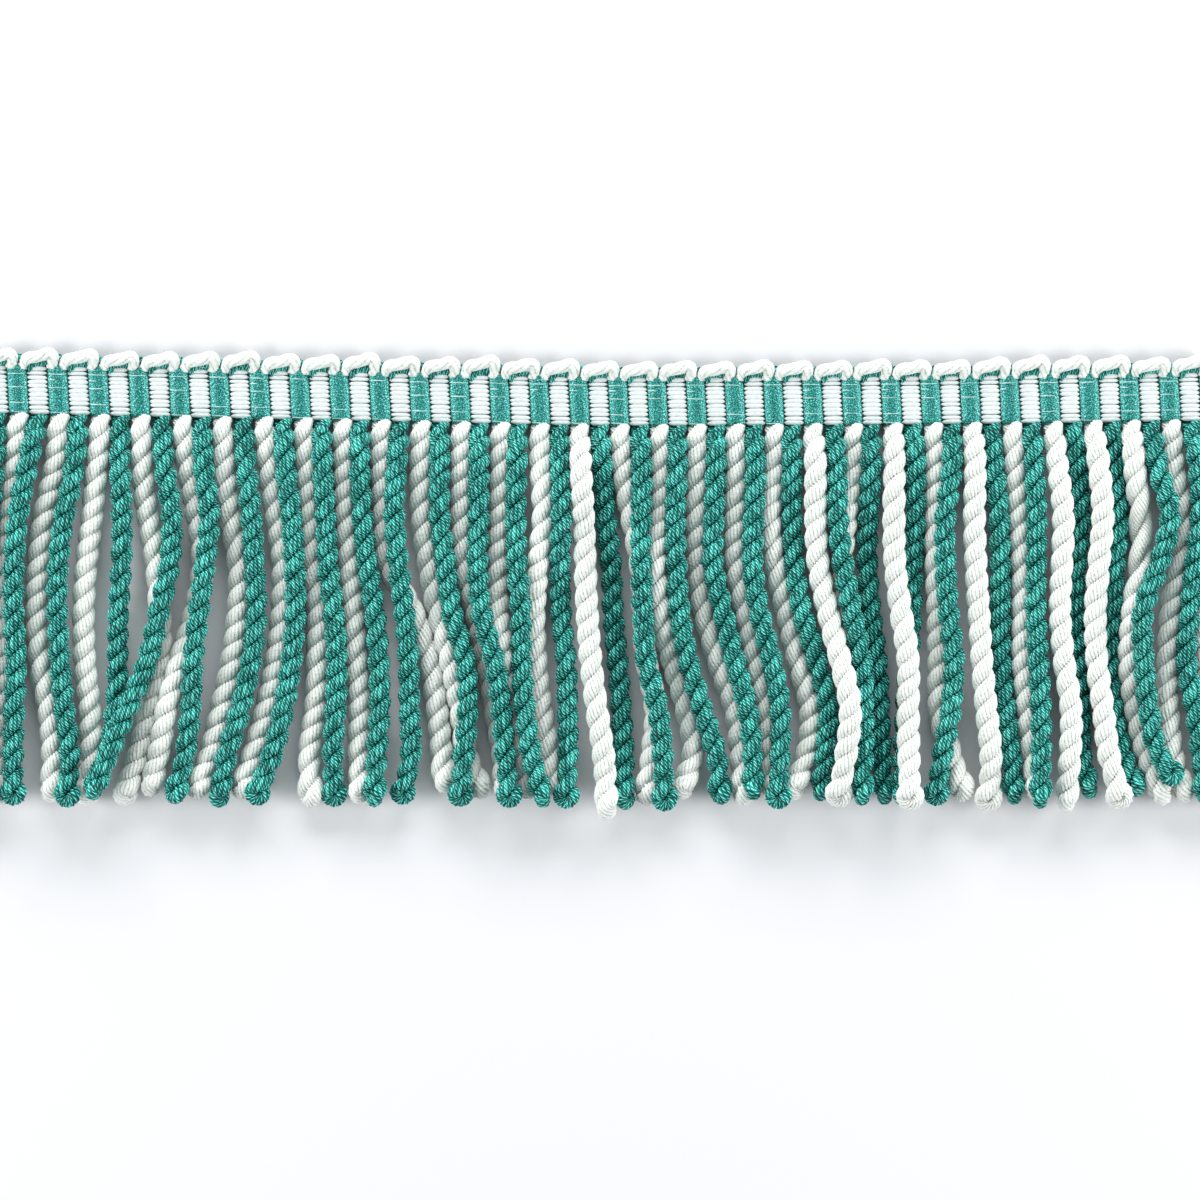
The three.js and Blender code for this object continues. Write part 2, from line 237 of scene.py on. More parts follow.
# rib: sideways drift from the rib at each station and at the closed end
TEAL_DRIFT = {
    -32: (0.0, -0.4, -1.0, -1.6, -2.0, -2.2, -2.0, -1.8, -1.8),
    -30: (0.0, -0.4, -1.2, -2.0, -2.4, -2.4, -2.2, -2.2, -2.4),
    -28: (0.1, -1.9, -3.7, -4.5, -4.6, -4.1, -4.5, -4.7, -4.7),
    -26: (0.0, -0.6, -2.6, -3.8, -4.0, -3.5, -2.6, -1.4, -1.8),
    -24: (0.4, 0.4, 0.8, 0.7, 0.0, -0.2, -0.6, -2.2, -4.6),
    -22: (0.5, 1.3, 2.7, 2.3, 0.2, -2.1, -6.1, -9.9, -12.3),
    -20: (0.6, 1.0, 2.2, 1.4, 0.1, -1.0, -1.6, -2.8, -4.6),
    -18: (0.7, 1.5, 2.5, 3.1, 3.5, 2.5, 0.3, -2.5, -3.9),
    -16: (0.7, 1.3, 2.5, 3.1, 3.3, 2.5, 0.9, -1.5, -4.3),
    -14: (0.5, 0.7, 1.3, 1.7, 2.9, 3.5, 3.3, 2.7, 2.9),
    -12: (0.1, 0.1, 0.6, 1.6, 3.1, 3.9, 4.1, 3.5, 3.1),
    -10: (0.2, -0.6, -1.0, -0.2, 1.0, 1.8, 2.0, 2.2, 0.6),
    -8: (0.1, 0.0, 0.0, 1.2, 2.5, 5.2, 5.7, 4.9, 4.2),
    -6: (0.0, -0.2, -0.2, -0.4, 0.4, 3.0, 4.4, 5.2, 6.0),
    -4: (-0.2, -0.6, -0.8, -0.5, 0.2, 0.4, 1.1, 2.4, 4.4),
    -2: (0.0, 0.2, 0.4, 0.1, 0.3, 1.3, 1.6, 1.7, 1.4),
    0: (0.1, 0.6, 1.3, 2.4, 2.8, 3.7, 4.4, 5.0, 5.1),
    2: (0.3, 0.7, 0.6, 0.6, 0.9, 1.6, 3.9, 4.9, 5.3),
    4: (0.2, 0.0, -0.4, -0.2, 0.5, 2.2, 5.0, 7.9, 8.7),
    6: (0.3, 0.0, -0.4, -0.6, 1.4, 3.8, 6.3, 7.4, 7.5),
    8: (-0.1, 0.2, -0.2, -0.4, 0.9, 3.4, 5.1, 5.1, 4.7),
    10: (-0.2, -0.3, -0.3, 0.2, 1.7, 4.7, 7.0, 6.3, 5.5),
    12: (0.4, 0.8, 1.0, 2.0, 3.8, 5.7, 6.1, 6.1, 5.8),
    14: (-0.1, -0.2, -0.7, -0.9, -0.2, 1.0, 1.5, 2.0, 2.5),
    16: (0.4, 0.8, 0.7, 0.3, 0.1, -0.5, -1.1, -1.5, -1.8),
    18: (0.3, 0.2, -1.2, -1.2, -0.6, 0.5, -0.1, -1.9, -3.0),
    20: (0.3, 0.7, 1.7, 1.9, 2.0, 2.1, 3.1, 4.1, 4.7),
    22: (0.4, 0.8, 1.2, 1.1, 1.0, 1.5, 2.0, 2.0, 1.8),
    24: (0.7, 1.6, 2.2, 1.4, 1.0, 1.6, 2.1, 2.4, 3.7),
    26: (0.5, 1.3, 1.8, 1.1, 0.6, 0.0, 0.6, 2.8, 4.9),
    28: (0.2, 1.4, 3.8, 1.6, -1.8, -1.6, -0.6, 1.8, 4.0),
    30: (0.2, 1.4, 1.8, 0.7, -0.3, -1.0, 0.7, 2.0, 2.8),
    32: (0.0, 0.4, 0.8, 1.0, 1.2, 1.2, 1.4, 1.6, 1.8),
}
WHITE_DRIFT = {
    -31: (0.0, -0.6, -1.4, -2.2, -2.4, -2.4, -2.6, -2.6, -2.6),
    -29: (0.2, -0.8, -2.0, -3.0, -3.0, -3.0, -3.6, -3.6, -4.0),
    -27: (0.3, -0.7, -2.9, -3.9, -4.3, -3.7, -1.9, -1.1, -1.3),
    -25: (0.4, -0.4, -1.2, -2.4, -3.0, -2.8, -1.8, -1.6, -2.2),
    -23: (0.4, 0.6, 1.8, 3.4, 4.2, 4.2, 2.2, -0.2, -2.6),
    -21: (0.5, 1.7, 3.5, 4.7, 3.1, 0.3, -2.3, -4.1, -5.5),
    -19: (0.5, 0.9, 2.1, 3.9, 3.7, 2.5, 0.3, -2.1, -4.3),
    -17: (0.8, 1.8, 3.2, 4.6, 4.4, 3.2, 1.2, -1.6, -3.4),
    -15: (0.7, 1.3, 1.9, 2.5, 3.7, 3.5, 3.1, 1.9, 2.3),
    -13: (0.5, 0.9, 1.1, 1.9, 2.7, 3.3, 3.9, 3.7, 4.1),
    -11: (0.3, 0.3, 0.7, 1.5, 6.7, 10.1, 11.5, 12.5, 12.9),
    -9: (0.4, 0.1, 0.3, 1.8, 3.6, 6.2, 8.0, 9.6, 11.8),
    -7: (0.3, 0.2, 0.3, 0.8, 3.2, 5.4, 7.0, 8.6, 9.0),
    -5: (0.3, 0.1, 0.0, -0.4, -0.4, 0.9, 3.1, 4.4, 5.6),
    -3: (0.1, 0.2, 0.7, -0.3, -1.1, -0.7, 0.3, 2.0, 2.4),
    -1: (0.0, 0.3, 0.8, 1.2, 1.6, 2.3, 3.5, 4.9, 5.5),
    1: (0.2, 0.7, 2.5, 4.3, 4.9, 5.6, 7.4, 6.6, 5.6),
    3: (0.3, 0.6, 0.5, -0.3, 0.5, 2.9, 5.7, 7.1, 5.1),
    5: (0.3, 0.0, 0.0, 0.3, 1.5, 4.3, 7.7, 8.9, 9.3),
    7: (0.1, 0.1, -0.1, 0.1, 2.1, 4.1, 6.1, 6.7, 7.1),
    9: (0.2, 0.0, -0.7, 0.3, 2.6, 4.7, 7.3, 6.5, 4.1),
    11: (0.0, 0.5, 0.5, 1.0, 2.9, 5.4, 7.3, 6.4, 5.1),
    13: (0.4, 0.2, -1.0, -2.0, -1.4, 0.2, 0.8, 1.0, 1.2),
    15: (0.5, 0.5, 0.4, 0.6, 1.8, 3.2, 3.2, 3.3, 3.5),
    17: (0.5, 0.8, 0.8, 1.0, 1.4, 1.6, 1.6, 4.2, 6.2),
    19: (0.4, 0.8, 0.6, 0.9, 1.5, 2.1, 3.0, 4.0, 3.6),
    21: (0.4, 1.0, 1.6, 2.2, 2.4, 2.5, 3.4, 4.2, 5.2),
    23: (0.6, 1.4, 2.5, 2.2, 1.8, 2.6, 4.0, 3.8, 3.2),
    25: (0.6, 1.7, 2.4, 1.6, 0.9, 1.2, 2.4, 3.7, 5.8),
    27: (0.3, 0.8, 2.0, 2.0, 0.4, -0.2, 1.0, 3.4, 6.1),
    29: (0.3, 0.7, 2.5, 1.5, 0.2, -0.4, -0.3, 0.7, 2.5),
    31: (0.2, 0.2, 0.6, -0.6, -1.4, -1.0, 0.2, 1.4, 2.2),
}

# How much further down than the tip line a cord ends, where it does
REACH = {
    -28: 0.0, -26: 0.4, -24: -1.8, -22: -1.0, -18: 0.4, -14: 0.4, -12: 0.4, -8: 0.3, -6: 0.6, -4: 0.4,
    -2: 0.6, 0: 1.0, 2: 1.2, 6: -1.0, 8: 0.7, 10: -0.8, 18: 0.2, 22: 0.6, 24: -1.3, 26: -1.6, 28: -3.8,
    -27: -0.6, -21: -1.8, -19: -1.2, -17: -1.2, -15: 0.4, -13: -0.4, -11: -2.6, -9: -1.2, -7: -1.2,
    -5: -1.2, -3: -1.8, -1: 2.8, 3: -1.2, 7: -1.2, 9: -1.2, 11: 0.3, 13: -1.2, 15: 0.7, 17: -0.8,
    19: 1.2, 21: -1.2, 23: 1.2, 25: 0.8, 29: -0.6,
}

# Height off the surface in the upper and the lower half, where it differs from the rest of the row
LIFT = {
    -24: (3.4, 1.2), -2: (0.4, 3.4), 0: (0.4, 0.4), 10: (2.0, 0.2), 12: (3.2, 0.8), 14: (0.5, 0.0),
    16: (0.6, 0.0), 20: (2.4, 0.6), 24: (0.6, 0.0), 26: (0.5, 0.0), 28: (4.4, 4.8),
    -25: (1.4, 0.6), -3: (3.4, 0.0), -1: (4.2, 4.2), 11: (4.0, 4.4), 15: (4.0, 4.0), 19: (4.0, 4.0),
    23: (4.0, 4.0), 25: (4.2, 4.2), 27: (1.2, 0.4),
}

# Cords whose closed end lies flat, so that its loop shows face on
FLAT_ENDS = {-28, -26, -16, -14, -10, -8, -6, -2, 2, 8, 18, 28, 11, 15, 19, 25}

# Cords that have come partly untwisted: from and to which depth, and how much
LOOSE_TWIST = {27: (16.0, 42.0, 0.45), 29: (20.0, 40.0, 0.3)}


def srgb(red, green, blue):
    """A screen colour, 0 to 255, as the linear colour that shaders take."""
    parts = [c / 255 for c in (red, green, blue)]
    return tuple(c / 12.92 if c <= 0.04045 else ((c + 0.055) / 1.055) ** 2.4 for c in parts) + (1.0,)


def smoothstep(x, start, end):
    t = np.clip((x - start) / (end - start), 0, 1)
    return t * t * (3 - 2 * t)


def smooth_curve(knots, values, at):
    """A cubic through the values at the knots, straight beyond the ends."""
    slopes = np.gradient(values, knots)
    inside = np.clip(at, knots[0], knots[-1])
    i = np.clip(np.searchsorted(knots, inside, side="right") - 1, 0, len(knots) - 2)
    width = knots[i + 1] - knots[i]
    t = (inside - knots[i]) / width
    blend = t * t * (3 - 2 * t)
    curve = values[i] * (1 - blend) + values[i + 1] * blend
    curve += width * (slopes[i] * t * (1 - t) ** 2 + slopes[i + 1] * t * t * (t - 1))
    beyond = at - inside
    return curve + np.where(beyond < 0, slopes[0], slopes[-1]) * beyond


def heading_x(rib):
    return smooth_curve(BOW_RIBS, BOW_X, np.asarray(rib, float))


def heading_y(rib):
    return smooth_curve(BOW_RIBS, BOW_Y, np.asarray(rib, float))


def unit(vectors):
    return vectors / np.linalg.norm(vectors, axis=-1, keepdims=True)


def mesh_object(name, points, quads, caps, corner_map=None):
    """One mesh object of quads and end caps. The map, if there is one, covers the quads alone."""
    mesh = bpy.data.meshes.new(name)
    corners = np.concatenate([quads.ravel(), *caps]).astype(np.int32)
    totals = np.array([4] * len(quads) + [len(cap) for cap in caps])
    starts = np.concatenate([[0], np.cumsum(totals)[:-1]]).astype(np.int32)
    mesh.vertices.add(len(points))
    mesh.vertices.foreach_set("co", (points * MM).astype(np.float32).ravel())
    mesh.loops.add(len(corners))
    mesh.loops.foreach_set("vertex_index", corners)
    mesh.polygons.add(len(totals))
    mesh.polygons.foreach_set("loop_start", starts)
    mesh.polygons.foreach_set("use_smooth", np.ones(len(totals), bool))
    if corner_map is not None:
        layer = mesh.uv_layers.new(name="yarn")
        padded = np.zeros((len(corners), 2), np.float32)
        padded[: len(corner_map)] = corner_map
        layer.uv.foreach_set("vector", padded.ravel())
    mesh.update(calc_edges=True)
    mesh.validate()
    piece = bpy.data.objects.new(name, mesh)
    bpy.context.scene.collection.objects.link(piece)
    return piece


# Strands

class Strands:
    """Collects yarn-ribbed strands into the arrays of one mesh."""

    def __init__(self, make):
        self.yarns, profile, self.slope, self.step, self.fuzz, section = make
        self.offset, self.deep, self.wide = section
        self.profile = np.tile(profile, self.yarns)
        self.points, self.quads, self.caps, self.map = [], [], [], []
        self.count = 0

    def add(self, path, outward, deep, wide):
        """A strand along a path. outward points away from its cord's middle, deep and wide are the
        half sizes of its section along and across that direction."""
        steps = np.linalg.norm(np.diff(path, axis=0), axis=1)
        length = np.concatenate([[0], np.cumsum(steps)])
        rings = max(FEWEST_RINGS, int(round(length[-1] / self.step)) + 1)
        at = np.linspace(0, length[-1], rings)
        path, outward = (
            np.column_stack([np.interp(at, length, values[:, k]) for k in range(3)])
            for values in (path, outward)
        )
        deep, wide = (np.interp(at, length, values) for values in (deep, wide))
        tangent = unit(np.gradient(path, axis=0))
        outward = unit(outward - tangent * (outward * tangent).sum(1, keepdims=True))
        across = np.cross(tangent, outward)
        columns = len(self.profile)
        column = np.arange(columns)
        turn = rng.uniform(0, 2 * math.pi) - self.slope / self.wide * at
        angle = turn[:, None] + 2 * math.pi * column / columns
        profile = self.profile * np.repeat(rng.uniform(*YARN_SPREAD, self.yarns), 2)
        reach_out = (deep[:, None] * profile * np.cos(angle))[:, :, None] * outward[:, None, :]
        reach_across = (wide[:, None] * profile * np.sin(angle))[:, :, None] * across[:, None, :]
        points = path[:, None, :] + reach_out + reach_across
        ring, column = np.meshgrid(np.arange(rings - 1), np.arange(columns), indexing="ij")
        ring, column = ring.ravel(), column.ravel()
        following = (column + 1) % columns
        first = self.count
        quads = np.column_stack([
            ring * columns + column, ring * columns + following,
            (ring + 1) * columns + following, (ring + 1) * columns + column,
        ]) + first
        beads = at / BEAD + rng.uniform(0, 1)
        yarn = np.column_stack([column, column + 1, column + 1, column]) / 2
        bead = np.column_stack([beads[ring], beads[ring], beads[ring + 1], beads[ring + 1]])
        self.points.append(points.reshape(-1, 3))
        self.quads.append(quads)
        self.map.append(np.stack([yarn, bead], axis=-1).reshape(-1, 2))
        self.caps.append(first + np.arange(columns)[::-1])
        self.caps.append(first + (rings - 1) * columns + np.arange(columns))
        self.count += rings * columns
        if self.fuzz:
            bare = int(FUZZ_BARE / self.step)
            grown = slice(bare, rings - bare)
            self.add_fibres(points[grown], path[grown], tangent[grown])

    def add_fibres(self, points, path, tangent):
        """Short stray fibres that stand off a strand's surface."""
        count = int(len(path) * self.step * self.fuzz)
        ring = rng.integers(0, len(path), count)
        foot = points[ring, rng.integers(0, points.shape[1], count)]
        normal = unit(foot - path[ring])
        sideways = np.cross(tangent[ring], normal)
        lengthwise = rng.uniform(-1, 1, (count, 1))
        aside = rng.uniform(-FIBRE_ASIDE, FIBRE_ASIDE, (count, 1))
        lean = tangent[ring] * lengthwise + sideways * aside
        size = rng.uniform(*FIBRE_LENGTH, (count, 1))
        bend = [foot + size * (off * normal + over * lean) for off, over in FIBRE_BEND]
        spine = np.stack([foot - FIBRE_FOOT * normal, *bend], axis=1)
        spine[..., 2] = np.maximum(spine[..., 2], FIBRE_LOWEST)
        side = unit(np.cross(lean, normal))
        around = 2 * math.pi / FIBRE_SIDES * np.arange(FIBRE_SIDES)[None, :, None]
        section = FIBRE_RADIUS * (np.cos(around) * side[:, None] - np.sin(around) * normal[:, None])
        tube = spine[:, :, None, :] + FIBRE_TAPER[None, :, None, None] * section[:, None]
        ids = self.count + np.arange(tube[..., 0].size).reshape(tube.shape[:3])
        after = np.roll(ids, -1, axis=2)
        quads = np.stack([ids[:, :-1], after[:, :-1], after[:, 1:], ids[:, 1:]], axis=-1).reshape(-1, 4)
        self.points.append(tube.reshape(-1, 3))
        self.quads.append(quads)
        self.map.append(np.full((len(quads) * 4, 2), 0.5))
        self.caps += [*ids[:, 0, ::-1], *ids[:, -1]]
        self.count += ids.size

    def piece(self, name):
        return mesh_object(
            name, np.concatenate(self.points), np.concatenate(self.quads), self.caps,
            np.concatenate(self.map),
        )


# Cords

class Cord:
    """Where one cord runs: its way in plan, and the height that lay_cords gives it."""

    def __init__(self, rib, drifts, row_lift):
        self.rib = rib
        self.lift = LIFT.get(rib, row_lift)
        self.tip = TIP_DEPTH + REACH.get(rib, 0.0)
        self.turn_depth = self.tip - END_REACH
        self.root = HEADING_HEIGHT / 2 - ROOT_OVERLAP - float(heading_y(rib))
        self.knots = np.append(STATIONS, self.turn_depth)
        self.places = float(heading_x(rib)) + np.array(drifts)
        self.height = None

    def x(self, depth):
        return smooth_curve(self.knots, self.places, depth)

    def free_height(self, depth):
        """How high the cord's middle lies at a depth as long as no other cord holds it up."""
        share = (depth - self.root) / (self.tip - self.root)
        upper, lower = self.lift
        body = upper + (lower - upper) * smoothstep(share, *HALVES_MEET)
        settle = 1 - SETTLED * smoothstep(share, *SETTLE_RANGE)
        on_edge = self.rib not in FLAT_ENDS
        floor = CORD_RADIUS + END_RISE * smoothstep(self.tip - depth, *END_RISE_RANGE) * on_edge
        lying = np.maximum(floor, LIFT_BASE + body * settle)
        below = depth - self.root
        rise_length = HIGH_RISE_LENGTH if upper > HIGH_LIFT else LOW_RISE_LENGTH
        rising = ROOT_HEIGHT + (lying - ROOT_HEIGHT) * smoothstep(below, 0, rise_length)
        at_least = ROOT_HEIGHT + (floor - ROOT_HEIGHT) * smoothstep(below, *ROOT_RISE_RANGE)
        return np.maximum(rising, at_least)


def lay_cords(cords):
    """Lays the cords one by one, the lowest first, each over those already down."""
    depths = np.arange(LAY_FROM, TIP_DEPTH + LAY_PAST_TIP, LAY_STEP)
    pitch = LAY_PITCH * (ROOT_PITCH + (1 - ROOT_PITCH) * smoothstep(depths, *FULL_PITCH_RANGE))
    steps = np.arange(-SMOOTH_STEPS, SMOOTH_STEPS + 1)
    window = np.exp(-0.5 * (steps * LAY_STEP / SMOOTH_LENGTH) ** 2)
    laid = []
    for cord in sorted(cords, key=lambda cord: sum(cord.lift)):
        x = cord.x(depths)
        slope = np.gradient(x, depths)
        here = (depths >= cord.root) & (depths <= cord.tip)
        needed = cord.free_height(depths)
        for other in laid:
            shared = here & (depths >= other["from"]) & (depths <= other["to"])
            upright = 1 / np.sqrt(1 + ((slope + other["slope"]) / 2) ** 2)
            apart = np.abs(x - other["x"]) * upright
            over = other["z"] + np.sqrt(np.maximum(0, pitch ** 2 - apart ** 2))
            needed = np.where(shared & (apart < pitch), np.maximum(needed, over), needed)
        fall = MAX_SLOPE * np.abs(depths[:, None] - depths[None, :])
        z = (np.where(here, needed, NOWHERE)[None, :] - fall).max(1)
        z = np.convolve(np.pad(z, SMOOTH_STEPS, mode="edge"), window / window.sum(), mode="valid")
        below = np.maximum(0, depths - cord.root)
        highest = ROOT_HEIGHT + sum(more * np.maximum(0, below - start) for start, more in ROOT_CLIMB)
        z = np.maximum(np.minimum(z, highest), cord.free_height(depths))
        cord.height = (depths, z)
        laid.append({"x": x, "slope": slope, "z": z, "from": cord.root, "to": cord.tip})


def add_cord(strands, cord):
    """One strand that runs down, turns at the closed end and comes back twisted round itself."""
    depth = np.arange(cord.root, cord.turn_depth, FINE_STEP)
    centre = np.column_stack([cord.x(depth), -depth, np.interp(depth, *cord.height)])
    tangent = unit(np.gradient(centre, axis=0))
    side = unit(np.cross([0.0, 0.0, 1.0], tangent))
    up = np.cross(tangent, side)
    along = np.concatenate([[0], np.cumsum(np.linalg.norm(np.diff(centre, axis=0), axis=1))])

    # Twist
    if cord.rib in FLAT_ENDS:
        end_angle = rng.uniform(-FLAT_END_ANGLE, FLAT_END_ANGLE)
    else:
        end_angle = math.pi * rng.uniform(*EDGE_END_TURN)
    uneven = TWIST_UNEVEN * np.sin(along * rng.uniform(*UNEVEN_RATE) + rng.uniform(0, 2 * math.pi))
    start, end, share = LOOSE_TWIST.get(cord.rib, (0, 0, 0.0))
    begun = smoothstep(depth, start, start + LOOSE_FADE)
    ended = smoothstep(depth, end - LOOSE_FADE, end)
    slack = share * begun * (1 - ended)
    rate = smoothstep(along, 0.0, TWIST_START) * (1 + uneven) * (1 - slack)
    turned = np.concatenate([[0], np.cumsum((rate[1:] + rate[:-1]) / 2 * np.diff(along))])
    half_turns = round(turned[-1] / HALF_TURN - end_angle / math.pi)
    angle = turned / turned[-1] * (math.pi * half_turns + end_angle)
    outward = np.cos(angle)[:, None] * side + np.sin(angle)[:, None] * up

    # Section
    to_end = along[-1] - along
    opening = 1 - smoothstep(to_end, 0, OPENING_LENGTH)
    flatness = 1 - smoothstep(along, *FLAT_RANGE)
    neck = np.exp(-(((to_end - NECK_PLACE) / NECK_LENGTH) ** 2))
    offset = strands.offset * (1 - FLAT_OFFSET * flatness + LOOSE_OFFSET * slack - NECK_OFFSET * neck)
    offset += (TURN_RADIUS - strands.offset) * opening
    deep = strands.deep * (1 - FLAT_DEEP * flatness + END_SWELL * opening)
    wide = strands.wide * (1 - FLAT_WIDE * flatness + OPENING_WIDE * opening - NECK_WIDE * neck)

    # Down, round the bend and back
    down = centre + offset[:, None] * outward
    back = centre - offset[:, None] * outward
    bend = np.linspace(0, math.pi, BEND_STEPS + 1)[1:-1, None]
    bend_outward = np.cos(bend) * outward[-1] + np.sin(bend) * tangent[-1]
    bend_path = centre[-1] + TURN_RADIUS * bend_outward
    full = np.ones(len(bend))
    strands.add(
        np.concatenate([down, bend_path, back[::-1]]),
        np.concatenate([outward, bend_outward, -outward[::-1]]),
        np.concatenate([deep, deep[-1] * full, deep[::-1]]),
        np.concatenate([wide, wide[-1] * full, wide[::-1]]),
    )


def cord_pieces(cords, colour, make, material):
    """The cords of one colour in three meshes, from left to right."""
    pieces = []
    for group, name in zip(np.array_split(np.arange(len(cords)), 3), ("left", "middle", "right")):
        strands = Strands(make)
        for i in group:
            add_cord(strands, cords[i])
        piece = strands.piece(f"{colour}_cords_{name}")
        dress(piece, material, f"{colour}_cords")
        pieces.append(piece)
    return pieces


def dress(piece, material, node):
    piece.data.materials.append(material)
    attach(piece, "root")
    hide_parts(node)


# Heading: a closed woven band with raised floats

def crown_at(local):
    """How far a rib's section has risen, at a place across it from -0.5 to 0.5."""
    return np.cos(math.pi * np.clip(local, -0.5, 0.5) * RIB_FULLNESS) ** RIB_ROUNDNESS


def edge_at(row):
    """How far the band keeps its thickness, less close to its upper and lower edge."""
    return 1 - EDGE_ROUNDING * np.abs(2 * row - 1) ** EDGE_SHARPNESS


def heading_place(rib, row, top=0.0, bottom=0.0):
    """Where a point of the heading lies in plan, for a rib number and a share of the way down."""
    y = heading_y(rib) + HEADING_HEIGHT / 2 - top - row * (HEADING_HEIGHT - top - bottom)
    return heading_x(rib) + RIB_LEAN * (row - 0.5), y


def grid_quads(ids, flip=False):
    quads = np.stack([ids[:-1, :-1], ids[:-1, 1:], ids[1:, 1:], ids[1:, :-1]], axis=-1).reshape(-1, 4)
    return quads[:, ::-1] if flip else quads


def heading_piece(material):
    """The closed band: teal ribs stand up, the ribs under the white floats lie lower. Its map holds
    millimetres across the rib, far to the side on the ribs under white, and millimetres down."""
    ribs = 2 * LAST_RIB + 1
    columns = ribs * RIB_COLUMNS
    rib_at = np.linspace(-LAST_RIB - 0.5, LAST_RIB + 0.5, columns + 1)
    down = np.linspace(0, 1, HEADING_ROWS + 1)
    rib, row = np.meshgrid(rib_at, down, indexing="ij")
    nearest = np.clip(np.rint(rib), -LAST_RIB, LAST_RIB).astype(int)
    white = nearest % 2 == 0
    crown = crown_at(rib - nearest)
    weft = np.abs(np.sin(math.pi * row * TEAL_WEFTS + WEFT_WANDER * np.sin(WANDER_RATE * rib)))
    uneven = rng.uniform(-UNEVEN_RELIEF, UNEVEN_RELIEF, rib.shape)
    rise = np.where(white, RIB_RISE - FLOAT_SINK * FLOAT_THICK, RIB_RISE) * crown
    relief = np.where(white, 0, (WEFT_RELIEF * weft + uneven) * crown)
    face = (GROOVE_FACE + rise) * edge_at(row) + relief
    inside = np.clip(INSET_FULLNESS - 2 * np.abs(rib - nearest), 0, 1) * white
    x, y = heading_place(rib, row, WHITE_TOP_INSET * inside, WHITE_BOTTOM_INSET * inside)
    pick = np.round(np.linspace(0, HEADING_ROWS, BACK_ROWS + 1)).astype(int)
    back = np.stack([x[:, pick], y[:, pick], BACK_GROOVE * (1 - crown[:, pick])], axis=-1)
    points = np.concatenate([np.stack([x, y, face], axis=-1).reshape(-1, 3), back.reshape(-1, 3)])
    front_id = np.arange(rib.size).reshape(rib.shape)
    back_id = rib.size + np.arange(back[..., 0].size).reshape(columns + 1, BACK_ROWS + 1)
    top = grid_quads(np.column_stack([back_id[:, 0], front_id[:, 0]]))
    bottom = grid_quads(np.column_stack([front_id[:, -1], back_id[:, -1]]))
    quads = np.concatenate([grid_quads(front_id), grid_quads(back_id, True), top, bottom])
    left = np.concatenate([back_id[0], front_id[0, ::-1]])
    right = np.concatenate([front_id[-1], back_id[-1, ::-1]])

    # The map of each corner, from the rib that its quad belongs to
    every_rib = np.concatenate([rib.ravel(), rib[:, pick].ravel()])[quads]
    every_row = np.concatenate([row.ravel(), row[:, pick].ravel()])[quads]
    own = np.rint(every_rib.mean(1, keepdims=True))
    width = heading_x(1.0) - heading_x(0.0)
    across = (every_rib - own) * width + np.where(own % 2 == 0, MAP_ASIDE, 0.0)
    lengthwise = every_row * HEADING_HEIGHT + (own + LAST_RIB) * 2 * HEADING_HEIGHT
    corner_map = np.stack([across, lengthwise], axis=-1).reshape(-1, 2)
    piece = mesh_object("woven_heading", points, quads, [left, right], corner_map)
    dress(piece, material, "heading")
    return piece


class Bars:
    """Collects small closed bars that lie across one rib into the arrays of one mesh. stations run from
    -1 to 1 along a bar, taper is its share of full height at each, and section is its outline."""

    def __init__(self, stations, taper, section):
        self.stations, self.taper = np.array(stations), np.array(taper)
        self.section = np.array(section)
        self.points, self.quads, self.caps = [], [], []

    def add(self, rib, row, half, start, end, thick, base):
        """A bar on a rib. row and half may differ from station to station; start and end are shares
        of the rib's half width, base is how far below the rib's crest the bar's edge lies."""
        share = (self.stations + 1) / 2
        local = (start + (end - start) * share) / 2
        x, y = heading_place(rib + local, row)
        level = (GROOVE_FACE + RIB_RISE * crown_at(local)) * edge_at(row) - base
        fullness = thick * (BAR_END_THICK + (1 - BAR_END_THICK) * self.taper)
        points = np.empty((len(local), len(self.section), 3))
        points[..., 0] = x[:, None] + rng.uniform(-BAR_SPREAD, BAR_SPREAD)
        points[..., 1] = y[:, None] + (half * self.taper)[:, None] * self.section[:, 0]
        points[..., 2] = level[:, None] + fullness[:, None] * self.section[:, 1]
        count = len(self.section)
        ids = np.arange(points[..., 0].size).reshape(len(local), count) + sum(map(len, self.points))
        self.quads.append(grid_quads(np.column_stack([ids, ids[:, 0]])))
        self.caps += [ids[0], ids[-1, ::-1]]
        self.points.append(points.reshape(-1, 3))

    def piece(self, name, material):
        piece = mesh_object(name, np.concatenate(self.points), np.concatenate(self.quads), self.caps)
        dress(piece, material, "heading")
        return piece


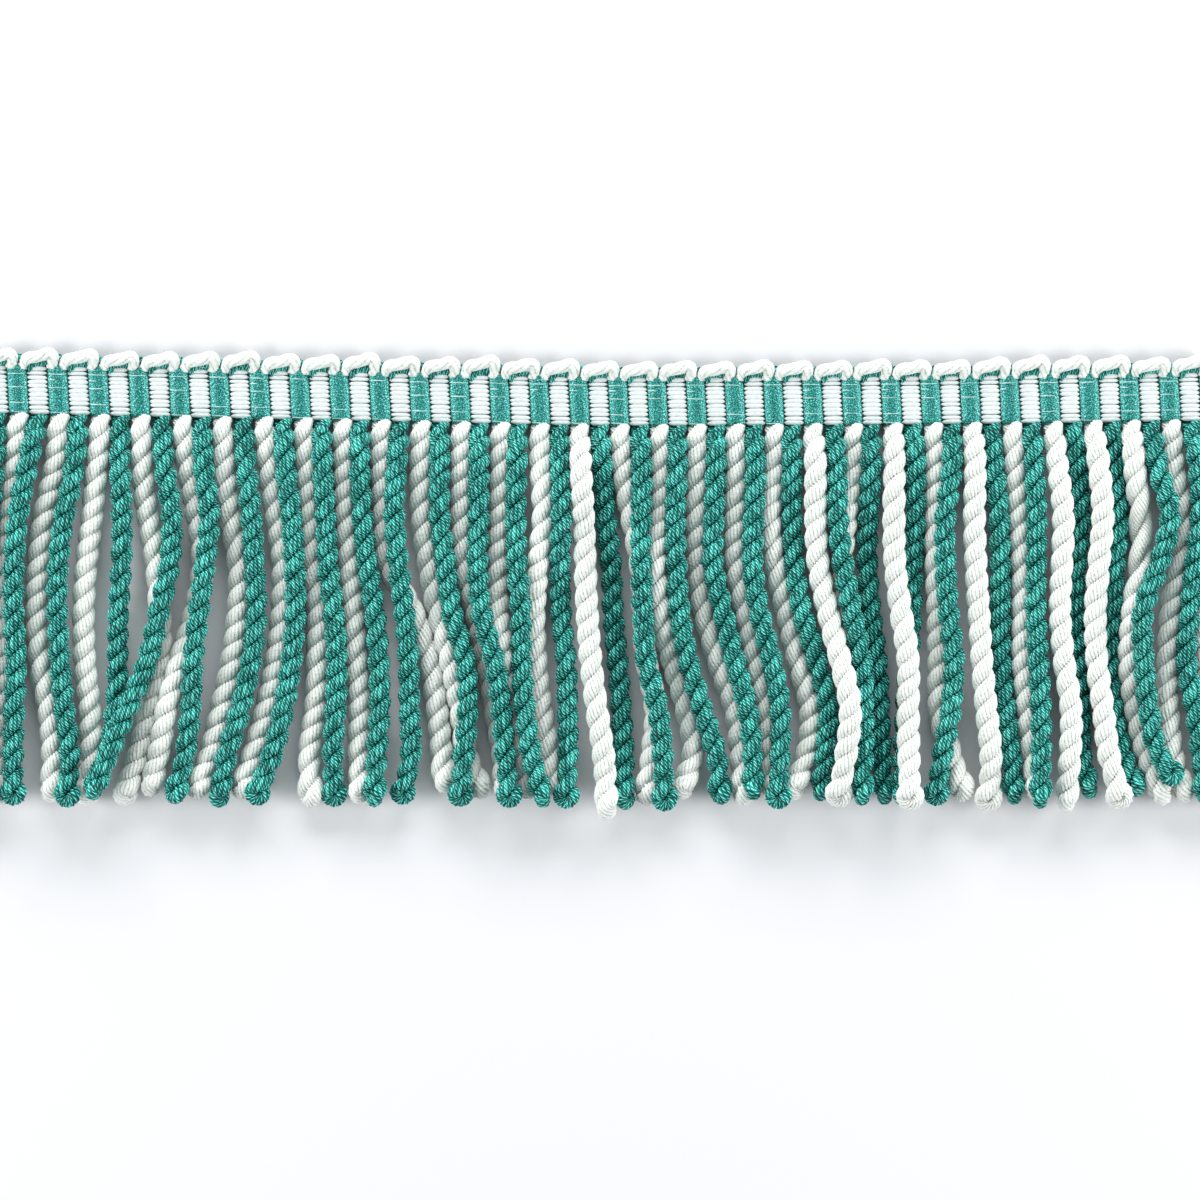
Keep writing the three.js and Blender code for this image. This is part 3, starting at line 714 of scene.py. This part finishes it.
def white_floats(material):
    """Short bars side by side over every even rib, parted here and there by a line of teal."""
    bars = Bars(
        [-1.0, -0.9, -0.76, -0.5, 0.0, 0.5, 0.76, 0.9, 1.0],
        [0.1, 0.42, 0.76, 0.97, 1.0, 0.97, 0.76, 0.42, 0.1],
        [(-1.0, 0.5), (-0.8, 0.88), (0.0, 1.05), (0.8, 0.88), (1.0, 0.5), (0.0, -0.6)],
    )
    length_in_ribs = FLOAT_LENGTH / float(heading_x(1.0) - heading_x(0.0))
    highest = WHITE_TOP_INSET / HEADING_HEIGHT
    lowest = 1 - WHITE_BOTTOM_INSET / HEADING_HEIGHT
    along = bars.stations
    for rib in range(-LAST_RIB, LAST_RIB + 1, 2):
        edges = np.linspace(highest, lowest, FLOATS + 1)
        edges[1:-1] += rng.uniform(-FLOAT_EDGE_SPREAD, FLOAT_EDGE_SPREAD, FLOATS - 1)
        gaps = np.full((FLOATS + 1, len(along)), -FLOAT_LAP)
        for number, (gap, reach, share) in FLOAT_LINES.items():
            if rng.uniform() < share:
                stop = 2 * reach - 1
                faded = smoothstep(along, stop - FLOAT_LINE_FADE, stop + FLOAT_LINE_FADE)
                shown = 1 - faded if reach < 1 else 1.0
                gaps[number] = (gap + FLOAT_LAP) * shown - FLOAT_LAP
        for number in range(FLOATS):
            upper = edges[number] * HEADING_HEIGHT + gaps[number] / 2
            lower = edges[number + 1] * HEADING_HEIGHT - gaps[number + 1] / 2
            row = (upper + lower) / 2 / HEADING_HEIGHT
            half = (lower - upper) / 2
            reach = length_in_ribs * (1 + rng.uniform(-FLOAT_LENGTH_SPREAD, FLOAT_LENGTH_SPREAD))
            bars.add(rib, row, half, -reach, reach, FLOAT_THICK, FLOAT_THICK * FLOAT_DEPTH)
    return bars.piece("white_floats", material)


def thin_lines(material):
    """Thin white picks that show across some of the teal ribs, thicker at their left end."""
    bars = Bars(
        [-1.0, -0.85, -0.3, 0.35, 0.85, 1.0], [0.3, 1.0, 1.0, 0.75, 0.5, 0.2],
        [(-1.0, 0.0), (0.0, 1.0), (1.0, 0.0), (0.0, -0.6)],
    )
    for rib in range(1 - LAST_RIB, LAST_RIB, 2):
        for place, start, end, share in THIN_LINES:
            if rng.uniform() < share:
                middle = place + rng.uniform(-THIN_PLACE_SPREAD, THIN_PLACE_SPREAD)
                row = middle + THIN_WAVER * rng.uniform(-1, 1, len(bars.stations))
                stop = start + (end - start) * rng.uniform(*THIN_LENGTH_RANGE)
                half = THIN_HALF * rng.uniform(*THIN_HALF_RANGE)
                bars.add(rib, row, half, start, stop, THIN_THICK, -THIN_ABOVE)
    return bars.piece("thin_white_picks", material)


# Loops over the top edge

def loop_row(name, first_rib, last_rib, shape, height, half, make):
    """Single strands, one for each pair of ribs. shape is a list of places along the pair from its first
    rib's middle, above the edge and off the strand's own middle plane, which lies at height."""
    strands = Strands(make)
    shape = np.array(shape)
    for rib in range(first_rib, last_rib, 2):
        tall = LOOP_LEAST_TALL + LOOP_TALL_SPREAD * rng.uniform() ** LOOP_TALL_RARITY
        x0 = float(heading_x(rib))
        y0 = float(heading_y(rib)) + HEADING_HEIGHT / 2
        stretch = float(heading_x(rib + 2) - heading_x(rib)) / PAIR_WIDTH
        t = np.linspace(0, len(shape) - 1, LOOP_POINTS)
        knots = np.arange(len(shape))
        x = smooth_curve(knots, shape[:, 0], t) * stretch + x0 - RIB_LEAN / 2
        y = smooth_curve(knots, shape[:, 1], t)
        y = np.where(y > 0, y * tall, y) + y0
        z = smooth_curve(knots, shape[:, 2], t) + height
        path = np.column_stack([x, y, z])
        outward = np.tile([0.0, 0.0, 1.0], (len(t), 1))
        uneven = LOOP_UNEVEN * np.sin(t * rng.uniform(*LOOP_UNEVEN_RATE) + rng.uniform(0, 6))
        size = half * (1 + uneven)
        strands.add(path, outward, size, size * LOOP_WIDE)
    return strands.piece(name)


# Materials

class Tree:
    """Short ways to add nodes to one material."""

    def __init__(self, name):
        self.material = bpy.data.materials.new(name)
        self.material.use_nodes = True
        self.tree = self.material.node_tree
        self.shader = self.tree.nodes["Principled BSDF"]

    def node(self, kind, **settings):
        made = self.tree.nodes.new(kind)
        for key, value in settings.items():
            setattr(made, key, value)
        return made

    def link(self, source, target):
        if isinstance(source, (int, float)):
            target.default_value = source
        else:
            self.tree.links.new(source, target)

    def math(self, operation, *values):
        made = self.node("ShaderNodeMath", operation=operation)
        for socket, value in zip(made.inputs, values):
            self.link(value, socket)
        return made.outputs[0]

    def ramp(self, value, stops):
        made = self.node("ShaderNodeValToRGB")
        elements = made.color_ramp.elements
        while len(elements) < len(stops):
            elements.new(0.5)
        for element, (place, colour) in zip(elements, stops):
            element.position = place
            element.color = colour
        self.link(value, made.inputs[0])
        return made.outputs[0]

    def map_parts(self):
        """The two numbers of the piece's own map."""
        parts = self.node("ShaderNodeSeparateXYZ")
        self.link(self.node("ShaderNodeUVMap", uv_map="yarn").outputs[0], parts.inputs[0])
        return parts.outputs[0], parts.outputs[1]

    def step(self, value, start, end):
        """A smooth step from 0 at start to 1 at end."""
        made = self.node("ShaderNodeMapRange", interpolation_type="SMOOTHSTEP")
        made.inputs["From Min"].default_value = min(start, end)
        made.inputs["From Max"].default_value = max(start, end)
        made.inputs["To Min"].default_value = 0.0 if start < end else 1.0
        made.inputs["To Max"].default_value = 1.0 if start < end else 0.0
        self.link(value, made.inputs["Value"])
        return made.outputs["Result"]

    def noise(self, vector, scale, detail=2.0):
        made = self.node("ShaderNodeTexNoise")
        made.inputs["Scale"].default_value = scale
        made.inputs["Detail"].default_value = detail
        self.tree.links.new(vector, made.inputs["Vector"])
        return made.outputs["Fac"]

    def bump(self, height, strength, distance):
        made = self.node("ShaderNodeBump")
        made.inputs["Strength"].default_value = strength
        made.inputs["Distance"].default_value = distance
        self.tree.links.new(height, made.inputs["Height"])
        self.tree.links.new(made.outputs[0], self.shader.inputs["Normal"])

    def colour(self, source):
        self.tree.links.new(source, self.shader.inputs["Base Color"])

    def finish(self, **values):
        for key, value in values.items():
            self.shader.inputs[key.replace("_", " ")].default_value = value
        return self.material


def teal_yarn_material():
    """Shiny plied yarn: a row of slanting beads along every yarn, with a painted highlight on each bead and
    painted shade between beads and in the grooves between yarns.
    """
    tree = Tree("teal_yarn")
    yarn, along = tree.map_parts()
    from_middle = tree.math("MULTIPLY_ADD", tree.math("FRACT", yarn), 2.0, -1.0)
    across = tree.math("SUBTRACT", 1.0, tree.math("POWER", tree.math("ABSOLUTE", from_middle), 2.0))
    object_place = tree.node("ShaderNodeTexCoord").outputs["Object"]
    patches = tree.noise(object_place, scale=260.0)
    fibres = tree.noise(object_place, scale=3200.0, detail=1.0)
    number = tree.math("FLOOR", yarn)
    phase = tree.math("MULTIPLY_ADD", number, 0.41, tree.math("MULTIPLY", patches, 2.0))
    skewed = tree.math("MULTIPLY", from_middle, BEAD_SKEW)
    place = tree.math("ADD", tree.math("ADD", along, phase), skewed)
    turns = tree.math("COSINE", tree.math("MULTIPLY", place, 2 * math.pi))
    wave = tree.math("MULTIPLY_ADD", turns, 0.5, 0.5)
    # Painted light: brightest on each bead's crest in the middle of a yarn, darker between beads and
    # towards the grooves between yarns
    body = tree.math("MULTIPLY", across, tree.math("MULTIPLY_ADD", wave, BEAD_SHARE, 1 - BEAD_SHARE))
    each = tree.node("ShaderNodeCombineXYZ")
    tree.link(number, each.inputs[0])
    tree.link(tree.math("FLOOR", place), each.inputs[1])
    own = tree.node("ShaderNodeTexWhiteNoise", noise_dimensions="2D")
    tree.link(each.outputs[0], own.inputs["Vector"])
    tone = tree.math("ADD", body, tree.math("MULTIPLY_ADD", patches, 0.4, -0.2))
    tone = tree.math("ADD", tone, tree.math("MULTIPLY_ADD", own.outputs["Value"], 0.6, -0.28))
    tone = tree.math("ADD", tone, tree.math("MULTIPLY_ADD", fibres, 0.2, -0.1))
    # From painted shade through the teal to painted highlight; the patches, each bead's own tone and the
    # fibres vary it at random
    tree.colour(tree.ramp(tone, [
        (0.0, srgb(0, 54, 50)), (0.22, srgb(0, 104, 97)), (0.47, srgb(0, 156, 146)),
        (0.7, srgb(48, 228, 214)), (0.92, srgb(150, 255, 244)),
    ]))
    height = tree.math("ADD", body, tree.math("MULTIPLY", fibres, 0.25))
    tree.bump(height, strength=1.0, distance=0.3 * MM)
    return tree.finish(Roughness=0.42, Specular_IOR_Level=0.35)


def white_yarn_material():
    """Matte soft white yarn with fine fibres, with painted shade in the grooves between its yarns."""
    tree = Tree("white_yarn")
    yarn = tree.map_parts()[0]
    from_middle = tree.math("MULTIPLY_ADD", tree.math("FRACT", yarn), 2.0, -1.0)
    across = tree.math("SUBTRACT", 1.0, tree.math("POWER", tree.math("ABSOLUTE", from_middle), 2.0))
    object_place = tree.node("ShaderNodeTexCoord").outputs["Object"]
    fibres = tree.noise(object_place, scale=2200.0, detail=3.0)
    # Painted shade: greyer towards the grooves between yarns; the fibres vary the tone at random
    tone = tree.math("MULTIPLY_ADD", across, 0.5, fibres)
    tree.colour(tree.ramp(tone, [
        (0.4, srgb(182, 192, 186)), (0.65, srgb(224, 229, 225)), (0.95, srgb(244, 246, 242)),
    ]))
    tree.bump(tone, strength=0.9, distance=0.3 * MM)
    return tree.finish(
        Roughness=0.9, Specular_IOR_Level=0.1, Sheen_Weight=0.2, Sheen_Roughness=0.5,
        Subsurface_Weight=0.5, Subsurface_Radius=(1.0, 1.0, 1.0), Subsurface_Scale=0.8 * MM,
    )


def heading_material():
    """Teal silky weave: flecks slant down to the middle of each rib, with a painted highlight along its
    sides and painted shade in the groove beside it.
    """
    tree = Tree("heading_teal_weave")
    across, down = tree.map_parts()
    side = tree.math("ABSOLUTE", across)
    slant = tree.node("ShaderNodeCombineXYZ")
    tree.link(tree.math("MULTIPLY", tree.math("ADD", down, side), 4.6), slant.inputs[0])
    tree.link(tree.math("MULTIPLY", tree.math("SUBTRACT", down, side), 1.8), slant.inputs[1])
    tree.link(tree.math("SIGN", across), slant.inputs[2])
    flecks = tree.noise(slant.outputs[0], scale=1.0)
    # Painted highlight: the flecks are lighter in a stripe along each side of the rib and a little darker
    # elsewhere
    painted_highlight = tree.math("MULTIPLY", tree.step(side, *HIGHLIGHT_START), tree.step(side, *HIGHLIGHT_END))
    tone = tree.math("ADD", flecks, tree.math("MULTIPLY_ADD", painted_highlight, 0.07, -0.04))
    # Painted shade: darker in the groove beside each rib
    tone = tree.math("SUBTRACT", tone, tree.math("MULTIPLY", tree.step(side, *PAINTED_GROOVE_SHADE), 0.35))
    tree.colour(tree.ramp(tone, [
        (0.36, srgb(0, 52, 48)), (0.45, srgb(0, 106, 100)), (0.52, srgb(6, 144, 138)),
        (0.6, srgb(74, 204, 196)), (0.69, srgb(180, 244, 238)),
    ]))
    tree.bump(flecks, strength=0.6, distance=0.25 * MM)
    return tree.finish(Roughness=0.5, Specular_IOR_Level=0.4)


def float_material(name, low, high):
    """Matte floats, with fibres along them. low and high are the colours between which they vary."""
    tree = Tree(name)
    stretched = tree.node("ShaderNodeMapping")
    stretched.inputs["Scale"].default_value = (0.25, 1.0, 1.0)
    tree.link(tree.node("ShaderNodeTexCoord").outputs["Object"], stretched.inputs["Vector"])
    fibres = tree.noise(stretched.outputs[0], scale=4000.0)
    tree.colour(tree.ramp(fibres, [(0.3, low), (0.6, high)]))
    tree.bump(fibres, strength=0.4, distance=0.12 * MM)
    return tree.finish(
        Roughness=0.8, Specular_IOR_Level=0.2, Subsurface_Weight=0.1, Subsurface_Radius=(1.0, 1.0, 1.0),
        Subsurface_Scale=0.3 * MM,
    )


# Build
teal = teal_yarn_material()
white = white_yarn_material()
floats = float_material("heading_white_floats", srgb(198, 206, 207), srgb(220, 226, 227))
pale = float_material("heading_pale_picks", srgb(150, 205, 200), srgb(205, 232, 229))
teal_cords = [Cord(rib, drifts, UPPER_LIFT) for rib, drifts in TEAL_DRIFT.items()]
white_cords = [Cord(rib, drifts, LOWER_LIFT) for rib, drifts in WHITE_DRIFT.items()]
lay_cords(teal_cords + white_cords)
fringe = cord_pieces(teal_cords, "teal", TEAL_YARN, teal)
fringe += cord_pieces(white_cords, "white", WHITE_YARN, white)
heading = heading_piece(heading_material())
picks = [white_floats(floats), thin_lines(pale)]
white_loops = loop_row(
    "white_top_loops", 1 - LAST_RIB, LAST_RIB - 1, WHITE_LOOP_SHAPE, WHITE_LOOP_HEIGHT, WHITE_LOOP_HALF,
    SMOOTH_YARN,
)
dress(white_loops, white, "white_loops")
teal_loops = loop_row(
    "teal_top_loops", -LAST_RIB, LAST_RIB, TEAL_LOOP_SHAPE, TEAL_LOOP_HEIGHT, TEAL_LOOP_HALF, TEAL_YARN,
)
dress(teal_loops, teal, "teal_loops")

# Floor, lights and camera, in metres
FLOOR_SIZE = 6.0
FLOOR_DROP = 0.0002
FLOOR_COLOUR = (0.715, 0.715, 0.75, 1.0)
FLOOR_ROUGHNESS = 0.9
LIGHT_AIM = (0.0, -0.04, 0.0)
LIGHT_COLOUR = (1.0, 0.99, 0.98)
SIDE_SIZE = (0.5, 0.5)
SIDE_WATTS = 6.6
TOP_SIZE = (1.9, 0.8)
TOP_WATTS = 41.0
AMBIENT_COLOUR = (0.86, 1.0, 0.99, 1.0)
AMBIENT_STRENGTH = 0.27
FIELD = 0.2418
VIEW_MIDDLE = (0.0002, -0.040)
CAMERA_HEIGHT = 1.5
SENSOR = 36.0

bpy.ops.mesh.primitive_plane_add(size=FLOOR_SIZE, location=(0, 0, -FLOOR_DROP))
floor = bpy.context.object
floor.name = "floor"
paper = Tree("floor_paper")
floor.data.materials.append(paper.finish(Base_Color=FLOOR_COLOUR, Roughness=FLOOR_ROUGHNESS))


def area_light(name, place, size, watts):
    """A rectangular light that looks at the middle of the fringe."""
    data = bpy.data.lights.new(name, "AREA")
    data.shape = "RECTANGLE"
    data.size, data.size_y = size
    data.energy = watts
    data.color = LIGHT_COLOUR
    light = bpy.data.objects.new(name, data)
    light.location = place
    light.rotation_euler = (Vector(LIGHT_AIM) - Vector(place)).to_track_quat("-Z", "Y").to_euler()
    bpy.context.scene.collection.objects.link(light)


area_light("left", (-0.8, -0.2, 0.42), SIDE_SIZE, SIDE_WATTS)
area_light("right", (0.8, -0.2, 0.42), SIDE_SIZE, SIDE_WATTS)
area_light("top", (0.0, 1.6, 0.9), TOP_SIZE, TOP_WATTS)
world = bpy.data.worlds.new("studio")
world.use_nodes = True
world.node_tree.nodes["Background"].inputs["Color"].default_value = AMBIENT_COLOUR
world.node_tree.nodes["Background"].inputs["Strength"].default_value = AMBIENT_STRENGTH
bpy.context.scene.world = world
bpy.context.scene.view_settings.view_transform = "Standard"
camera_data = bpy.data.cameras.new("camera")
camera_data.sensor_width = SENSOR
camera_data.lens = SENSOR * CAMERA_HEIGHT / FIELD
camera = bpy.data.objects.new("camera", camera_data)
camera.location = (*VIEW_MIDDLE, CAMERA_HEIGHT)
bpy.context.scene.collection.objects.link(camera)
bpy.context.scene.camera = camera
